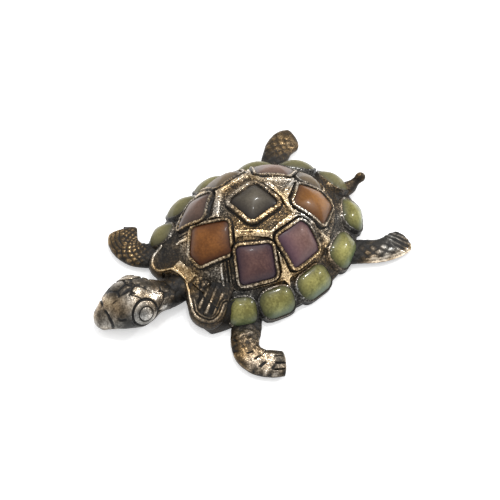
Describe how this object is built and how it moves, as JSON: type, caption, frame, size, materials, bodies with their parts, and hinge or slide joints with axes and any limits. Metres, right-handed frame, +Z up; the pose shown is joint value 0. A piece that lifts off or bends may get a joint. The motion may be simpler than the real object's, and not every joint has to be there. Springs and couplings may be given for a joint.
{
  "type": "turtle brooch",
  "caption": "Turtle brooch: antiqued metal casting with pearly enamel cells over the shell and round its edge, and a pin hidden beneath.",
  "frame": {"origin": "middle of the whole piece's bounding box, on the surface that it lies on", "axes": "+Y from the head towards the tail, +X towards the turtle's left side, +Z up out of the shell"},
  "size_m": [0.0392, 0.0516, 0.0124],
  "materials": {
    "antique_metal": "antiqued and worn bright on its ridges",
    "shell_enamel": "glossy and pearly",
    "edge_enamel": "glossy and pearly",
    "pin_steel": "plain"
  },
  "bodies": {
    "root": {"brooch_pin": "pin_steel", "casting": "antique_metal", "enamel_edge_left_1": "edge_enamel", "enamel_edge_left_2": "edge_enamel", "enamel_edge_left_3": "edge_enamel", "enamel_edge_left_4": "edge_enamel", "enamel_edge_left_5": "edge_enamel", "enamel_edge_right_1": "edge_enamel", "enamel_edge_right_2": "edge_enamel", "enamel_edge_right_3": "edge_enamel", "enamel_edge_right_4": "edge_enamel", "enamel_edge_right_5": "edge_enamel", "enamel_edge_tail": "edge_enamel", "enamel_shell_centre": "shell_enamel", "enamel_shell_front": "shell_enamel", "enamel_shell_left_front": "shell_enamel", "enamel_shell_left_middle": "shell_enamel", "enamel_shell_left_rear": "shell_enamel", "enamel_shell_rear": "shell_enamel", "enamel_shell_right_front": "shell_enamel", "enamel_shell_right_middle": "shell_enamel", "enamel_shell_right_rear": "shell_enamel"}
  },
  "joints": []
}
